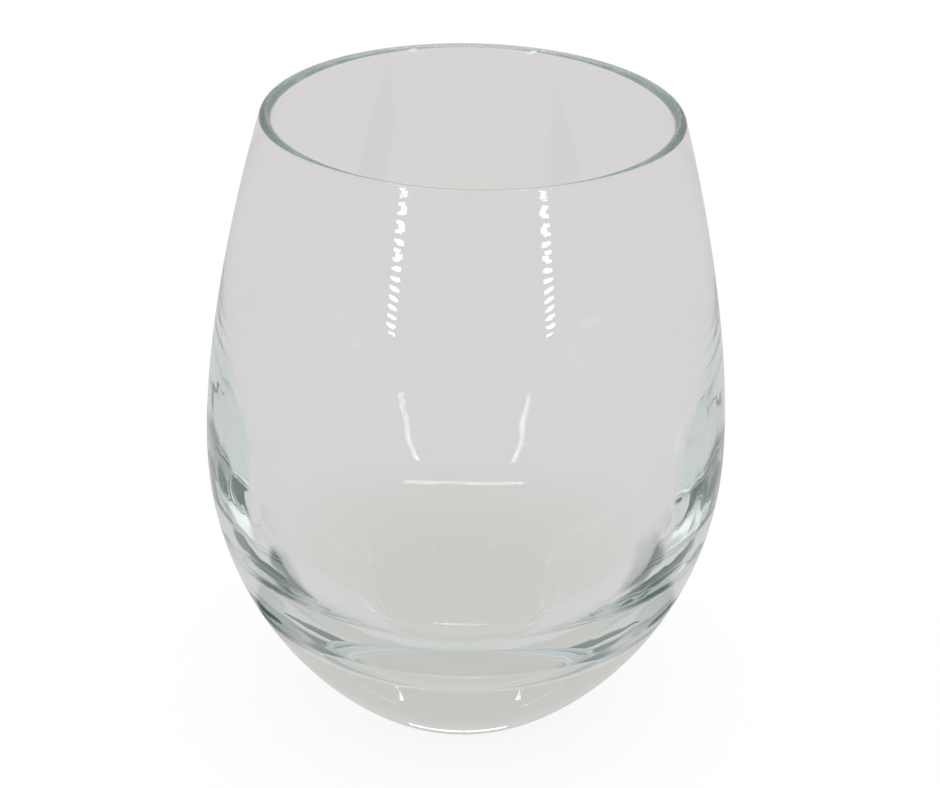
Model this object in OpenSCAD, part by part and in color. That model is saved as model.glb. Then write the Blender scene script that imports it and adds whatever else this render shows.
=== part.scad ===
// Stemless wine glass: one piece of clear soda-lime glass, blown in a turning mould.
// It is a body of revolution about +Z, with the origin on the table under its centre.
// Lengths are in millimetres and angles in degrees.

/* [Bowl] */
// Height from the table to the top of the lip
height = 111.3; // [104:0.1:122]
// Outside diameter of the lip
rim_d = 70; // [66:0.5:76]
// Outside diameter at the widest part of the bowl
belly_d = 91; // [86:0.5:96]
// Height of the widest part above the table
belly_h = 50.4; // [46:0.1:58]
// Lean of the outer wall from the upright, just under the lip
rim_lean = 16.6; // [15:0.2:22]
// Diameter of the ring that the glass stands on
foot_d = 40; // [32:0.5:48]
// Angle between the table and the outer wall where it rises from the foot
foot_rise = 37; // [28:1:42]

/* [Glass thickness] */
// Thickness of the lip, which is fire-polished to a half round
lip_t = 2; // [1.2:0.1:3]
// Lean of the inner wall just under the lip, which is less, as the wall thickens downwards
inner_lean = 15.8; // [12:0.2:17]
// Step in from the outside at its widest to the inside at its widest
belly_wall = 3.6; // [3:0.1:6]
// Height of the widest part of the inside above the table
inner_belly_h = 64.5; // [56:0.5:70]
// Glass on the axis, from the underside to the inner floor
floor_t = 16.6; // [8:0.1:20]

/* [Underside] */
// Radius of the rounded edge outside the standing ring
foot_round = 0.9; // [0.4:0.1:3]
// Width of the flat standing ring
ring_w = 0.8; // [0.4:0.1:2]
// Depth of the shallow hollow inside the standing ring
punt_depth = 1.3; // [0.4:0.1:3]

/* [Hidden] */

// Facets of a full turn, and straight steps along each curve of the outline
turn_steps = 180;
curve_steps = 40;
lip_steps = 16;
punt_steps = 10;

// Handle lengths of the outline's curves, as shares of the height or radius that each curve spans
shoulder_share = 0.344; // outer wall, at the lip
waist_share = 0.275; // outer wall, above the widest part
hip_share = 0.558; // outer wall, below the widest part
heel_share = 0.331; // outer wall, at the foot
inner_shoulder_share = 0.35;
inner_waist_share = 0.28;
inner_hip_share = 0.65;
floor_share = 0.887;

lip_r = lip_t / 2;
lip_centre = [rim_d / 2 - lip_r, height - lip_r];
belly = [belly_d / 2, belly_h];
inner_belly = [belly_d / 2 - belly_wall, inner_belly_h];
foot_centre = [foot_d / 2, foot_round];
ring_inner_r = foot_d / 2 - ring_w;
floor_z = punt_depth + floor_t;

// A point at a distance from another, at an angle from +X towards +Z
function polar_from(p, distance, angle) = p + distance * [cos(angle), sin(angle)];

// Points of an arc about a centre, from one angle to another, both ends included
function arc(centre, r, from, to, steps) =
    [for (i = [0 : steps]) polar_from(centre, r, from + (to - from) * i / steps)];

// Points of a cubic curve, without its first point, which the outline has already
function cubic(a, b, c, d, steps) =
    [for (i = [1 : steps]) let (t = i / steps, s = 1 - t)
        s * s * s * a + 3 * s * s * t * b + 3 * s * t * t * c + t * t * t * d];

// The lip, a half round from the inner wall over the top to the outer wall
lip = arc(lip_centre, lip_r, 180 + inner_lean, rim_lean, lip_steps);
lip_in = lip[0];
lip_out = lip[lip_steps];

// The outer wall, from the lip to the widest part and on to the rounded edge of the foot
foot_out = polar_from(foot_centre, foot_round, foot_rise - 90);
upper_span = lip_out.y - belly.y;
lower_span = belly.y - foot_out.y;
outer_upper = cubic(
    lip_out,
    polar_from(lip_out, upper_span * shoulder_share, rim_lean - 90),
    belly + [0, upper_span * waist_share],
    belly,
    curve_steps);
outer_lower = cubic(
    belly,
    belly - [0, lower_span * hip_share],
    polar_from(foot_out, (belly.x - foot_out.x) * heel_share, foot_rise),
    foot_out,
    curve_steps);
foot_edge = arc(foot_centre, foot_round, foot_rise - 90, -90, lip_steps);

// The hollow of the underside, an arc that is level on the axis
punt_r = (pow(ring_inner_r, 2) + pow(punt_depth, 2)) / (2 * punt_depth);
punt_sweep = asin(ring_inner_r / punt_r);
punt = arc([0, punt_depth - punt_r], punt_r, 90 - punt_sweep, 90, punt_steps);

// The inside, from the lip to its widest part and down to the floor, which is level on the axis
inner_upper_span = lip_in.y - inner_belly.y;
inner_upper = cubic(
    inner_belly,
    inner_belly + [0, inner_upper_span * inner_waist_share],
    polar_from(lip_in, inner_upper_span * inner_shoulder_share, inner_lean - 90),
    lip_in,
    curve_steps);
inner_lower = cubic(
    [0, floor_z],
    [inner_belly.x * floor_share, floor_z],
    inner_belly - [0, (inner_belly.y - floor_z) * inner_hip_share],
    inner_belly,
    curve_steps);

// Half of the glass's cross-section, with the axis at X = 0
module half_section() {
    polygon(concat(
        lip, outer_upper, outer_lower, foot_edge, punt,
        [[0, floor_z]], inner_lower, inner_upper));
}

module glass_body() {
    color([0.78, 0.84, 0.82, 0.45])
        rotate_extrude($fn = turn_steps)
            half_section();
}

glass_body();
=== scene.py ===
"""Stemless wine glass: one piece of clear glass, revolved from its own outline, in a light box.

Lengths are in metres and angles in radians, unless a name or a comment says millimetres or degrees.
"""
import math

import bmesh
import bpy
from mathutils import Matrix, Vector


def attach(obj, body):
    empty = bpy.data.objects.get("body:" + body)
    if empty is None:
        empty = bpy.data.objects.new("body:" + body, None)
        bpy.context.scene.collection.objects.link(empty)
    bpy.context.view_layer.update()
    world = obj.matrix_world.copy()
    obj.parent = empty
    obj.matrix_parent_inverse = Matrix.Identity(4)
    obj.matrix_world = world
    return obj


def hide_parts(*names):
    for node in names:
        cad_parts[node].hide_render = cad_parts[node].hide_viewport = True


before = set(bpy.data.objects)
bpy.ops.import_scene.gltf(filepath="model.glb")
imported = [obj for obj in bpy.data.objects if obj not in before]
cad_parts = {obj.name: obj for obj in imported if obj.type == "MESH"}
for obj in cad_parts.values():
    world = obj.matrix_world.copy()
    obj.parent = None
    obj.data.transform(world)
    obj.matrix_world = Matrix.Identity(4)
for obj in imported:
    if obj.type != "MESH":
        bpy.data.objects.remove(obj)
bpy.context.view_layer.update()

MM = 0.001

# The glass, as in the part: sizes in millimetres, leans in degrees, shares of the span of each curve
GLASS_MM = {
    "Height": 111.3,
    "Lip Diameter": 70.0,
    "Belly Diameter": 91.0,
    "Belly Height": 50.4,
    "Foot Diameter": 40.0,
    "Lip Thickness": 2.0,
    "Belly Wall": 3.6,
    "Inner Belly Height": 64.5,
    "Floor Thickness": 16.6,
    "Foot Round": 0.9,
    "Ring Width": 0.8,
    "Punt Depth": 1.3,
}
GLASS_DEGREES = {"Lip Lean": 16.6, "Inner Lean": 15.8, "Foot Rise": 37.0}
GLASS_SHARES = {
    "Shoulder": 0.344,
    "Waist": 0.275,
    "Hip": 0.558,
    "Heel": 0.331,
    "Inner Shoulder": 0.35,
    "Inner Waist": 0.28,
    "Inner Hip": 0.65,
    "Floor": 0.887,
}

# Steps of the revolved mesh: round the axis, and along each stretch of the outline
TURN_STEPS = 288
CURVE_STEPS = 64
ARC_STEPS = 14
RING_STEPS = 2

# Points closer than this become one, which closes the seams between stretches and on the axis
WELD = 0.002 * MM

# What blowing leaves in the inner wall: soft waves where the glass is thick, and fine upright streaks.
# Each fades in from its top down to the height where it is full
RIPPLE = {
    "Ripple Height": 0.10 * MM,
    "Ripple Length": 16.0 * MM,
    "Ripple Top": 58.0 * MM,
    "Ripple Full": 34.0 * MM,
    "Ripple Seed": 7.0,
    "Streak Height": 0.03 * MM,
    "Streaks Per Radian": 11.0,
    "Streak Length": 40.0 * MM,
    "Streak Top": 72.0 * MM,
    "Streak Full": 54.0 * MM,
}

# How many finer layers the waves and the streaks hold, and how strong each is beside the one before
RIPPLE_DETAIL = 1.0
STREAK_DETAIL = 2.0
DETAIL_STRENGTH = 0.4

# How often light may turn inside the glass before it is given up
MOST_TURNS = 128

# Light that goes into the glass and out again passes its surface twice
IN_AND_OUT = 2

# Clear soda-lime glass, and what it absorbs of red, green and blue light in each metre
GLASS_IOR = 1.517
ABSORBED_PER_METRE = (1.0, 0.46, 0.54)

# The light box, as the glass shows it: pale walls, duller at the back but for its top
WHITE = (1.0, 1.0, 1.0)
WALL_COLOUR = (0.70, 0.685, 0.69)
BACK_COLOUR = (0.59, 0.57, 0.533)
BACK_SIDE = math.radians(128.0)
BACK_SIDE_BLUR = math.radians(10.0)
BACK_TOP = math.radians(56.0)
BACK_TOP_BLUR = math.radians(4.0)

# Painted reflections: dark patches and a bright glint in the room beyond the box, which only light that
# turned at the glass's surface so many times meets, put where the glass is to show them. For each part:
# its colour, from and to how many degrees on either side of the front it reaches, from and to how many
# degrees above the level, its share, and the fewest and most turns of the light that meets it. Where the
# part crosses the front or goes right round, its first angle is well under nought
DARK_COLOUR = (0.055, 0.11, 0.10)
PAINTED_GLINT_COLOUR = (1.2, 1.2, 1.17)
PAINTED_REFLECTIONS = {
    "top of the opening": (DARK_COLOUR, -40.0, 104.0, 38.0, 64.0, 0.25, 1.0, MOST_TURNS),
    "sides of the opening": (DARK_COLOUR, 54.0, 86.0, -4.0, 32.0, 1.0, 5.0, 9.0),
    "front, low down": (DARK_COLOUR, -40.0, 46.0, 4.0, 26.0, 1.0, 9.0, MOST_TURNS),
    "front, higher up": (DARK_COLOUR, -40.0, 26.0, 20.0, 31.5, 0.8, 9.0, 14.0),
    "room above": (DARK_COLOUR, -40.0, 50.0, 46.0, 60.0, 0.3, 4.0, MOST_TURNS),
    "top corners": (DARK_COLOUR, 36.0, 68.0, 33.0, 46.0, 1.0, 6.0, 12.0),
    "beyond the sides": (DARK_COLOUR, 72.0, 136.0, 8.0, 40.0, 0.3, 1.0, 9.0),
    "back corners": (DARK_COLOUR, 92.0, 112.0, 17.0, 42.0, 0.75, 4.0, 9.0),
    # Painted shade: light that turned very often is dimmed all round
    "dim all round": (DARK_COLOUR, -40.0, 220.0, -100.0, 100.0, 0.45, 28.0, MOST_TURNS),
    # A painted glint: a bright patch in the room, not a lamp, for light that turned at least four times
    "painted glint above": (PAINTED_GLINT_COLOUR, -40.0, 13.0, 34.5, 40.5, 1.0, 4.0, MOST_TURNS),
}
PART_BLUR_ACROSS = math.radians(5.0)
PART_BLUR_UP = math.radians(2.5)

# The table, as the glass shows it: a little darker near the foot, a painted shadow of the glass
TABLE_SIZE = 6.0
TABLE_COLOUR = (0.68, 0.665, 0.66)
TABLE_PAINTED_SHADOW = (0.605, 0.592, 0.562)
TABLE_NEAR = 12.0 * MM
TABLE_FAR = 62.0 * MM

# The table, as the camera sees it: mostly a glow of its own, and a part that takes the glass's soft shadow
TABLE_LIT = (0.18, 0.18, 0.18)
TABLE_GLOW = (0.85, 0.85, 0.85)

# The shade on the table on either side of the foot, and the shade further back. Its turns are the fewest
# and the most of the light that meets it, as with the room's parts
SHADE_COLOUR = (0.045, 0.09, 0.08)
SHADE_MIDDLE = 4.0 * MM
SHADE_FROM = 45.0 * MM
SHADE_TO = 70.0 * MM
SHADE_FRONT = -20.0 * MM
SHADE_BACK = 51.0 * MM
SHADE_BACK_SLANT = 0.8
SHADE_BLUR = 3.5 * MM
SHADE_TURNS = (1.0, 3.0)
FAR_SHADE_FROM = 42.0 * MM
FAR_SHADE_FRONT = 37.0 * MM
FAR_SHADE_SHARE = 0.75
FAR_SHADE_TURNS = (4.0, 9.0)

# Strips of small lamps on both sides of the opening and overhead, which the glass mirrors as lines.
# For each strip, in millimetres: its start, its end and the size of one lamp
STRIP_MM = (
    ((-296.0, -450.0, 71.0), (-296.0, -450.0, 300.0), (36.0, 3.0, 3.0)),
    ((-296.0, -450.0, 300.0), (-296.0, -180.0, 870.0), (36.0, 3.0, 3.0)),
    ((329.0, -450.0, 71.0), (329.0, -450.0, 290.0), (36.0, 3.0, 3.0)),
    ((329.0, -450.0, 290.0), (329.0, -176.0, 972.0), (36.0, 3.0, 3.0)),
    ((-272.0, 250.0, 950.0), (286.0, 250.0, 950.0), (3.5, 70.0, 3.0)),
)
LAMP_PITCH = 8.35 * MM
LAMP_GLOW = 12.0
LAMP_TURNS = (1.0, 2.0)

# The camera, found from the lip's ellipse: its place from the centre of the lip, in millimetres
CAMERA_FROM_LIP_MM = (0.6, -321.6, 119.5)
CAMERA_DOWN = 0.4889
CAMERA_ROLL = 0.0239
CAMERA_FOCAL_PIXELS = 2076.36
CAMERA_NEAREST = 10.0 * MM
PHOTO_WIDTH_PIXELS = 940
SENSOR_MM = 36.0

# The sockets of a Mix node that mixes two colours
MIX_SHARE = 0
MIX_COLOURS = (6, 7)
MIX_RESULT = 2


class Value:
    """A number inside a node tree: sums, products and functions of it become Math nodes."""

    def __init__(self, tree, source):
        self.tree = tree
        self.source = source

    def calculate(self, operation, *others):
        """What one Math node makes of this number and the others."""
        node = self.tree.nodes.new("ShaderNodeMath")
        node.operation = operation
        for socket, value in zip(node.inputs, (self, *others)):
            feed(self.tree, socket, value)
        return Value(self.tree, node.outputs[0])

    def __add__(self, other):
        return self.calculate("ADD", other)

    def __radd__(self, other):
        return self.calculate("ADD", other)

    def __sub__(self, other):
        return self.calculate("SUBTRACT", other)

    def __rsub__(self, other):
        return (self * -1.0) + other

    def __mul__(self, other):
        return self.calculate("MULTIPLY", other)

    def __rmul__(self, other):
        return self.calculate("MULTIPLY", other)

    def __truediv__(self, other):
        return self.calculate("DIVIDE", other)

    def __rtruediv__(self, other):
        return self.calculate("POWER", -1.0) * other

    def sine(self):
        return self.calculate("SINE")

    def cosine(self):
        return self.calculate("COSINE")

    def arcsine(self):
        return self.calculate("ARCSINE")

    def root(self):
        return self.calculate("POWER", 0.5)

    def ramp(self, start, end):
        """From 0 at start to 1 at end, smooth at both."""
        node = add_node(self.tree, "ShaderNodeMapRange", {"interpolation_type": "SMOOTHSTEP"},
                        Value=self, From_Min=start, From_Max=end)
        return Value(self.tree, node.outputs[0])

    def beyond(self, place, blur):
        """1 beyond a place, and 0 before it. With a negative blur it is the other way round."""
        return self.ramp(place - blur, place + blur)

    def counts(self, fewest, most):
        """1 where a whole number is from fewest to most, and 0 elsewhere."""
        return self.calculate("GREATER_THAN", fewest - 0.5) * self.calculate("LESS_THAN", most + 0.5)


def feed(tree, socket, value):
    """Sets a socket to a plain value, or links it to a Value or to another socket."""
    if isinstance(value, Value):
        tree.links.new(value.source, socket)
    elif isinstance(value, bpy.types.NodeSocket):
        tree.links.new(value, socket)
    else:
        socket.default_value = value


def add_node(tree, kind, settings=None, **inputs):
    """Adds a node, with its settings, and feeds its inputs by their names with _ for spaces."""
    node = tree.nodes.new(kind)
    for name, value in (settings or {}).items():
        setattr(node, name, value)
    for name, value in inputs.items():
        feed(tree, node.inputs[name.replace("_", " ")], value)
    return node


def joined(tree, x, y, z):
    """A vector from three numbers."""
    return add_node(tree, "ShaderNodeCombineXYZ", X=x, Y=y, Z=z).outputs[0]


def split(tree, vector):
    """The three numbers of a vector."""
    node = add_node(tree, "ShaderNodeSeparateXYZ", Vector=vector)
    return [Value(tree, socket) for socket in node.outputs]


def scaled(tree, vector, scale):
    """A vector made longer or shorter."""
    node = add_node(tree, "ShaderNodeVectorMath", {"operation": "SCALE"}, Vector=vector, Scale=scale)
    return node.outputs[0]


def opaque(colour):
    """A colour with its fourth number, as a node's socket takes it."""
    return (*colour, 1.0)


def mixed_colour(tree, share, a, b):
    """The colour a where share is 0, and b where it is 1."""
    node = tree.nodes.new("ShaderNodeMix")
    node.data_type = "RGBA"
    feed(tree, node.inputs[MIX_SHARE], share)
    for number, colour in zip(MIX_COLOURS, (a, b)):
        feed(tree, node.inputs[number], colour)
    return node.outputs[MIX_RESULT]


def begin_tree(name, inputs):
    """A new tree that gives a geometry, and the sockets of its inputs, which are given as name: kind."""
    tree = bpy.data.node_groups.new(name, "GeometryNodeTree")
    tree.interface.new_socket("Geometry", in_out="OUTPUT", socket_type="NodeSocketGeometry")
    for label, kind in inputs.items():
        tree.interface.new_socket(label, in_out="INPUT", socket_type=kind)
    return tree, tree.nodes.new("NodeGroupInput").outputs


def end_tree(tree, geometry, material):
    """Ends a tree with a real mesh in one material."""
    real = add_node(tree, "GeometryNodeRealizeInstances", Geometry=geometry)
    coated = add_node(tree, "GeometryNodeSetMaterial", Geometry=real.outputs[0], Material=material)
    out = tree.nodes.new("NodeGroupOutput")
    tree.links.new(coated.outputs[0], out.inputs[0])


def made_by_tree(name, tree, values):
    """A plain mesh object from a tree, with its inputs set by their identifiers."""
    seed = bpy.data.objects.new(name + "_seed", bpy.data.meshes.new(name + "_seed"))
    bpy.context.scene.collection.objects.link(seed)
    modifier = seed.modifiers.new(name, "NODES")
    modifier.node_group = tree
    for item in tree.interface.items_tree:
        if item.in_out == "INPUT":
            modifier[item.identifier] = values[item.name]
    evaluated = seed.evaluated_get(bpy.context.evaluated_depsgraph_get())
    mesh = bpy.data.meshes.new_from_object(evaluated)
    mesh.name = name
    seed.modifiers.clear()
    bpy.data.objects.remove(seed)
    made = bpy.data.objects.new(name, mesh)
    bpy.context.scene.collection.objects.link(made)
    return made


# The outline's stretches, as fields: t runs from 0 to 1, and a point is (distance from the axis, height)

def polar_from(point, distance, angle):
    """A point at a distance from another, at an angle up from straight outwards."""
    return point[0] + distance * angle.cosine(), point[1] + distance * angle.sine()


def arc(centre, radius, start, end):
    """A round stretch, from one angle to another."""
    return lambda t: polar_from(centre, radius, start + (end - start) * t)


def line(a, b):
    """A straight stretch."""
    return lambda t: (a[0] + (b[0] - a[0]) * t, a[1] + (b[1] - a[1]) * t)


def cubic(a, b, c, d):
    """A cubic curve from a to d, with b and c as its handles."""
    def at(t):
        s = 1.0 - t
        weights = (s * s * s, 3.0 * (s * s * t), 3.0 * (s * t * t), t * t * t)
        return tuple(sum(w * p[i] for w, p in zip(weights, (a, b, c, d))) for i in (0, 1))
    return at


def glass_outline(size):
    """The closed outline from the lip down the outside and up the inside: (stretch, steps, inside)."""
    quarter = math.pi / 2

    # Nought as a Value, because polar_from takes no plain number for its angle
    zero = size["Height"] * 0.0

    punt_depth = size["Punt Depth"]
    lip_r = size["Lip Thickness"] / 2
    lip_centre = (size["Lip Diameter"] / 2 - lip_r, size["Height"] - lip_r)
    belly = (size["Belly Diameter"] / 2, size["Belly Height"])
    inner_belly = (belly[0] - size["Belly Wall"], size["Inner Belly Height"])
    foot_centre = (size["Foot Diameter"] / 2, size["Foot Round"])
    foot_from = size["Foot Rise"] - quarter
    ring_inner_r = foot_centre[0] - size["Ring Width"]
    floor_z = punt_depth + size["Floor Thickness"]

    lip_in = polar_from(lip_centre, lip_r, size["Inner Lean"] + math.pi)
    lip_out = polar_from(lip_centre, lip_r, size["Lip Lean"])
    foot_out = polar_from(foot_centre, size["Foot Round"], foot_from)
    upper_span = lip_out[1] - belly[1]
    lower_span = belly[1] - foot_out[1]
    inner_upper_span = lip_in[1] - inner_belly[1]
    inner_lower_span = inner_belly[1] - floor_z

    punt_r = (ring_inner_r * ring_inner_r + punt_depth * punt_depth) / (punt_depth * 2)
    punt_sweep = (ring_inner_r / punt_r).arcsine()
    punt_centre = (zero, punt_depth - punt_r)
    return [
        (arc(lip_centre, lip_r, size["Inner Lean"] + math.pi, size["Lip Lean"]), ARC_STEPS, False),
        (cubic(
            lip_out,
            polar_from(lip_out, upper_span * size["Shoulder"], size["Lip Lean"] - quarter),
            (belly[0], belly[1] + upper_span * size["Waist"]),
            belly), CURVE_STEPS, False),
        (cubic(
            belly,
            (belly[0], belly[1] - lower_span * size["Hip"]),
            polar_from(foot_out, (belly[0] - foot_out[0]) * size["Heel"], size["Foot Rise"]),
            foot_out), CURVE_STEPS, False),
        (arc(foot_centre, size["Foot Round"], foot_from, zero - quarter), ARC_STEPS, False),
        (line((foot_centre[0], zero), (ring_inner_r, zero)), RING_STEPS, False),
        (arc(punt_centre, punt_r, quarter - punt_sweep, zero + quarter), ARC_STEPS, False),
        (cubic(
            (zero, floor_z),
            (inner_belly[0] * size["Floor"], floor_z),
            (inner_belly[0], inner_belly[1] - inner_lower_span * size["Inner Hip"]),
            inner_belly), CURVE_STEPS, True),
        (cubic(
            inner_belly,
            (inner_belly[0], inner_belly[1] + inner_upper_span * size["Inner Waist"]),
            polar_from(lip_in, inner_upper_span * size["Inner Shoulder"], size["Inner Lean"] - quarter),
            lip_in), CURVE_STEPS, True),
    ]


def revolved(tree, stretch, steps, inside):
    """One stretch of the outline turned about the axis, as a sheet that knows if it is the inner wall."""
    sheet = add_node(tree, "GeometryNodeMeshGrid", Size_X=1.0, Size_Y=1.0,
                     Vertices_X=TURN_STEPS + 1, Vertices_Y=steps + 1)
    across, along, _ = split(tree, add_node(tree, "GeometryNodeInputPosition").outputs[0])
    turn = (across + 0.5) * math.tau
    radius, height = stretch(along + 0.5)
    place = joined(tree, radius * turn.cosine(), radius * turn.sine(), height)
    placed = add_node(tree, "GeometryNodeSetPosition", Geometry=sheet.outputs["Mesh"], Position=place)
    return add_node(tree, "GeometryNodeStoreNamedAttribute", {"data_type": "FLOAT", "domain": "POINT"},
                    Geometry=placed.outputs[0], Name="inside", Value=float(inside)).outputs[0]


def noise(tree, vector, seed, detail):
    """Soft noise between -1 and 1."""
    waves = add_node(tree, "ShaderNodeTexNoise", {"noise_dimensions": "4D"}, Vector=vector,
                     W=seed, Scale=1.0, Detail=detail, Roughness=DETAIL_STRENGTH)
    return (Value(tree, waves.outputs["Fac"]) - 0.5) * 2.0


def rippled(tree, geometry, size):
    """Moves the inner wall along its normal in soft waves and streaks.

    Both fade out towards the lip, and the streaks towards the floor as well.
    """
    position = add_node(tree, "GeometryNodeInputPosition").outputs[0]
    x, y, height = split(tree, position)
    inside = add_node(tree, "GeometryNodeInputNamedAttribute", {"data_type": "FLOAT"}, Name="inside")

    in_waves = scaled(tree, position, 1.0 / size["Ripple Length"])
    waves = noise(tree, in_waves, size["Ripple Seed"], RIPPLE_DETAIL) * size["Ripple Height"]
    waves = waves * height.ramp(size["Ripple Top"], size["Ripple Full"])

    # The ring's width keeps the distance from the axis above nought
    distance = (x * x + y * y + size["Ring Width"] * size["Ring Width"]).root()
    per_metre = size["Streaks Per Radian"] / distance
    in_streaks = joined(tree, x * per_metre, y * per_metre, height / size["Streak Length"])
    streaks = noise(tree, in_streaks, size["Ripple Seed"] + 1.0, STREAK_DETAIL) * size["Streak Height"]
    streaks = streaks * height.ramp(size["Streak Top"], size["Streak Full"])
    streaks = streaks * height.ramp(size["Floor Thickness"], size["Ripple Full"])

    depth = (waves + streaks) * inside.outputs[0]
    offset = scaled(tree, add_node(tree, "GeometryNodeInputNormal").outputs[0], depth)
    return add_node(tree, "GeometryNodeSetPosition", Geometry=geometry, Offset=offset).outputs[0]


def glass_tree():
    """The node tree that turns the glass's sizes into its wall."""
    numbers = (*GLASS_MM, *GLASS_DEGREES, *GLASS_SHARES, *RIPPLE)
    inputs = {name: "NodeSocketFloat" for name in numbers}
    tree, entry = begin_tree("turned_glass", {**inputs, "Glass": "NodeSocketMaterial"})
    size = {name: Value(tree, entry[name]) for name in numbers}

    join = tree.nodes.new("GeometryNodeJoinGeometry")
    for stretch, steps, inside in reversed(glass_outline(size)):
        tree.links.new(revolved(tree, stretch, steps, inside), join.inputs[0])
    welded = add_node(tree, "GeometryNodeMergeByDistance", Geometry=join.outputs[0], Distance=WELD)
    shaped = rippled(tree, welded.outputs[0], size)
    smooth = add_node(tree, "GeometryNodeSetShadeSmooth", Geometry=shaped)
    end_tree(tree, smooth.outputs[0], entry["Glass"])
    return tree


def faces_outward(piece):
    """Turns every face of a closed mesh outwards."""
    mesh = bmesh.new()
    mesh.from_mesh(piece.data)
    bmesh.ops.recalc_face_normals(mesh, faces=mesh.faces)
    mesh.to_mesh(piece.data)
    mesh.free()


def clear_glass():
    """Clear glass, polished by fire and faint green in depth. Its waves are in the mesh."""
    material = bpy.data.materials.new("clear_glass")
    material.use_nodes = True
    tree = material.node_tree
    shader = tree.nodes["Principled BSDF"]
    shader.inputs["Base Color"].default_value = opaque(WHITE)
    shader.inputs["Transmission Weight"].default_value = 1.0
    shader.inputs["Roughness"].default_value = 0.0
    shader.inputs["IOR"].default_value = GLASS_IOR
    most = max(ABSORBED_PER_METRE)
    kept = [1.0 - absorbed / most for absorbed in ABSORBED_PER_METRE]
    depth = add_node(tree, "ShaderNodeVolumeAbsorption", Density=most, Color=opaque(kept))
    tree.links.new(depth.outputs[0], tree.nodes["Material Output"].inputs["Volume"])
    return material


def build_glass():
    """The glass: one closed mesh in place of the part's own."""
    values = {name: value * MM for name, value in GLASS_MM.items()}
    values.update({name: math.radians(value) for name, value in GLASS_DEGREES.items()})
    values.update(GLASS_SHARES)
    values.update(RIPPLE)
    values["Glass"] = clear_glass()
    glass = made_by_tree("clear_glass_body", glass_tree(), values)
    faces_outward(glass)
    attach(glass, "root")
    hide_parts("glass_body")


def place_camera():
    """The photograph's camera: a level look turned down, then rolled."""
    lip_z = (GLASS_MM["Height"] - GLASS_MM["Lip Thickness"] / 2) * MM
    place = Vector(CAMERA_FROM_LIP_MM) * MM + Vector((0.0, 0.0, lip_z))
    data = bpy.data.cameras.new("photo_camera")
    data.sensor_width = SENSOR_MM
    data.lens = CAMERA_FOCAL_PIXELS * SENSOR_MM / PHOTO_WIDTH_PIXELS
    data.clip_start = CAMERA_NEAREST
    camera = bpy.data.objects.new("photo_camera", data)
    level = Matrix.Rotation(math.pi / 2 - CAMERA_DOWN, 4, "X")
    roll = Matrix.Rotation(CAMERA_ROLL, 4, "Z")
    camera.matrix_world = Matrix.Translation(place) @ level @ roll
    bpy.context.scene.collection.objects.link(camera)
    bpy.context.scene.camera = camera


def turned_in_wall(tree, rays, fewest, most):
    """1 for light that turned so often and passed the glass's surface at most twice, and 0 for other."""
    turns = Value(tree, rays["Glossy Depth"])
    passes = Value(tree, rays["Transmission Depth"])
    return turns.counts(fewest, most) * passes.calculate("LESS_THAN", IN_AND_OUT + 0.5)


def light_box():
    """The world: white to the camera and as light, and a pale room, dark at its front, to the glass, with
    painted reflections: dark patches and a bright glint that only light turned at the glass's surface
    meets.
    """
    world = bpy.data.worlds.new("light_box")
    world.use_nodes = True
    tree = world.node_tree
    tree.nodes.clear()
    x, y, z = split(tree, add_node(tree, "ShaderNodeTexCoord").outputs["Generated"])
    aside = x.calculate("ARCTAN2", y * -1.0).calculate("ABSOLUTE")
    up = z.arcsine()
    back = aside.beyond(BACK_SIDE, BACK_SIDE_BLUR) * up.beyond(BACK_TOP, -BACK_TOP_BLUR)
    rays = add_node(tree, "ShaderNodeLightPath").outputs
    room = mixed_colour(tree, back, opaque(WALL_COLOUR), opaque(BACK_COLOUR))
    # Painted reflections: dark patches and a glint, each only for light with so many turns
    for colour, near, far, bottom, top, share, fewest, most in PAINTED_REFLECTIONS.values():
        part = (
            aside.beyond(math.radians(near), PART_BLUR_ACROSS)
            * aside.beyond(math.radians(far), -PART_BLUR_ACROSS)
            * up.beyond(math.radians(bottom), PART_BLUR_UP)
            * up.beyond(math.radians(top), -PART_BLUR_UP)
            * turned_in_wall(tree, rays, fewest, most) * share)
        room = mixed_colour(tree, part, room, opaque(colour))
    plain = Value(tree, rays["Is Camera Ray"]).calculate("MAXIMUM", Value(tree, rays["Is Diffuse Ray"]))
    seen = mixed_colour(tree, plain, room, opaque(WHITE))
    background = add_node(tree, "ShaderNodeBackground", Color=seen)
    out = tree.nodes.new("ShaderNodeOutputWorld")
    tree.links.new(background.outputs[0], out.inputs[0])
    bpy.context.scene.world = world


def bare_material(name):
    """A material with an empty tree."""
    material = bpy.data.materials.new(name)
    material.use_nodes = True
    material.node_tree.nodes.clear()
    return material


def end_surface(tree, share, a, b):
    """Ends a material's tree with the shader a where share is 0, and b where it is 1."""
    mix = add_node(tree, "ShaderNodeMixShader", Fac=share)
    tree.links.new(a.outputs[0], mix.inputs[1])
    tree.links.new(b.outputs[0], mix.inputs[2])
    out = tree.nodes.new("ShaderNodeOutputMaterial")
    tree.links.new(mix.outputs[0], out.inputs["Surface"])


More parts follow.
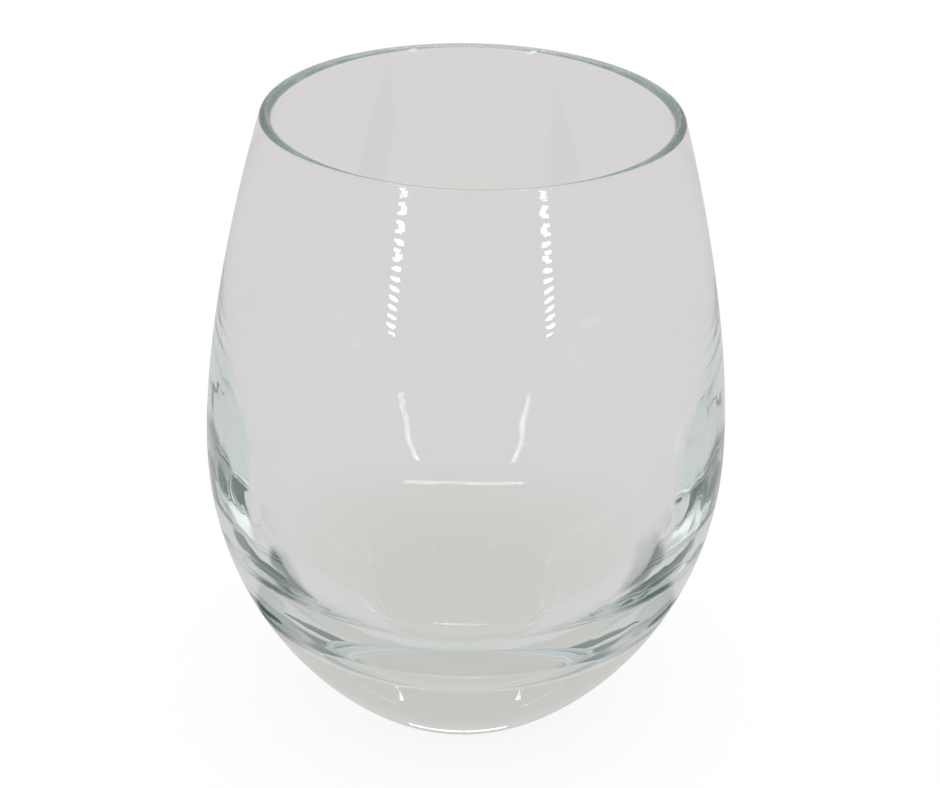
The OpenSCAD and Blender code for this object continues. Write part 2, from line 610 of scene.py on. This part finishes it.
def table_in_glass(tree, rays):
    """The table's colour as the glass shows it, with a painted shadow near the foot and the shade on
    either side of the foot.
    """
    x, y, _ = split(tree, add_node(tree, "ShaderNodeTexCoord").outputs["Object"])
    # A painted shadow: the table is darker close to the foot
    away = (x * x + y * y).root().ramp(TABLE_NEAR, TABLE_FAR)
    bare = mixed_colour(tree, away, opaque(TABLE_PAINTED_SHADOW), opaque(TABLE_COLOUR))
    aside = (x - SHADE_MIDDLE).calculate("ABSOLUTE")
    shade = (
        aside.beyond(SHADE_FROM, SHADE_BLUR)
        * aside.beyond(SHADE_TO, -SHADE_BLUR)
        * y.beyond(SHADE_FRONT, SHADE_BLUR)
        * (y + aside * SHADE_BACK_SLANT).beyond(SHADE_BACK, -SHADE_BLUR)
        * turned_in_wall(tree, rays, *SHADE_TURNS))
    far_shade = (
        aside.beyond(FAR_SHADE_FROM, SHADE_BLUR)
        * y.beyond(FAR_SHADE_FRONT, SHADE_BLUR)
        * turned_in_wall(tree, rays, *FAR_SHADE_TURNS) * FAR_SHADE_SHARE)
    shaded = mixed_colour(tree, shade, bare, opaque(SHADE_COLOUR))
    return mixed_colour(tree, far_shade, shaded, opaque(SHADE_COLOUR))


def table_material():
    """White to the camera, with the glass's soft shadow, and grey to the glass."""
    material = bare_material("table")
    tree = material.node_tree
    rays = add_node(tree, "ShaderNodeLightPath").outputs
    in_glass = add_node(tree, "ShaderNodeEmission", Color=table_in_glass(tree, rays))
    lit = add_node(tree, "ShaderNodeBsdfDiffuse", Color=opaque(TABLE_LIT))
    glow = add_node(tree, "ShaderNodeEmission", Color=opaque(TABLE_GLOW))
    plain = tree.nodes.new("ShaderNodeAddShader")
    tree.links.new(lit.outputs[0], plain.inputs[0])
    tree.links.new(glow.outputs[0], plain.inputs[1])
    end_surface(tree, rays["Is Camera Ray"], in_glass, plain)
    return material


def build_table():
    """The floor of the light box, one square."""
    half = TABLE_SIZE / 2
    corners = [(-half, -half, 0), (half, -half, 0), (half, half, 0), (-half, half, 0)]
    mesh = bpy.data.meshes.new("table")
    mesh.from_pydata(corners, [], [(0, 1, 2, 3)])
    mesh.materials.append(table_material())
    table = bpy.data.objects.new("table", mesh)
    bpy.context.scene.collection.objects.link(table)


def strip_tree():
    """The node tree of one strip: a row of small lamps from one end to the other."""
    tree, entry = begin_tree("lamp_strip", {
        "Start": "NodeSocketVector",
        "Reach": "NodeSocketVector",
        "Lamp Size": "NodeSocketVector",
        "Pitch": "NodeSocketFloat",
        "Lamp": "NodeSocketMaterial",
    })
    reach = add_node(tree, "ShaderNodeVectorMath", {"operation": "LENGTH"}, Vector=entry["Reach"])
    steps = Value(tree, reach.outputs["Value"]) / Value(tree, entry["Pitch"])
    step = scaled(tree, entry["Reach"], 1.0 / steps)
    row = add_node(tree, "GeometryNodeMeshLine", {"mode": "OFFSET"}, Count=steps + 1.0,
                   Start_Location=entry["Start"], Offset=step)
    lamp = add_node(tree, "GeometryNodeMeshCube", Size=entry["Lamp Size"])
    lamps = add_node(tree, "GeometryNodeInstanceOnPoints", Points=row.outputs[0], Instance=lamp.outputs[0])
    end_tree(tree, lamps.outputs[0], entry["Lamp"])
    return tree


def lamp_material():
    """A glow for light that the glass mirrored once or twice, and clear to all other light."""
    material = bare_material("lamp")
    tree = material.node_tree
    rays = add_node(tree, "ShaderNodeLightPath").outputs
    mirrored = Value(tree, rays["Glossy Depth"]).counts(*LAMP_TURNS)
    clear = add_node(tree, "ShaderNodeBsdfTransparent")
    glow = add_node(tree, "ShaderNodeEmission", Strength=LAMP_GLOW)
    end_surface(tree, mirrored, clear, glow)
    return material


def build_strips():
    """The strips of lamps, one object each."""
    tree = strip_tree()
    material = lamp_material()
    for number, (start, end, lamp_mm) in enumerate(STRIP_MM):
        strip = made_by_tree(f"lamp_strip_{number}", tree, {
            "Start": Vector(start) * MM,
            "Reach": (Vector(end) - Vector(start)) * MM,
            "Lamp Size": Vector(lamp_mm) * MM,
            "Pitch": LAMP_PITCH,
            "Lamp": material,
        })


def light_paths():
    """Lets light turn as often as it does inside the lip and the heavy base before it leaves."""
    cycles = bpy.context.scene.cycles
    cycles.max_bounces = MOST_TURNS
    cycles.glossy_bounces = MOST_TURNS
    cycles.transmission_bounces = MOST_TURNS


place_camera()
build_glass()
light_box()
build_table()
build_strips()
light_paths()
bpy.context.scene.view_settings.view_transform = "Standard"
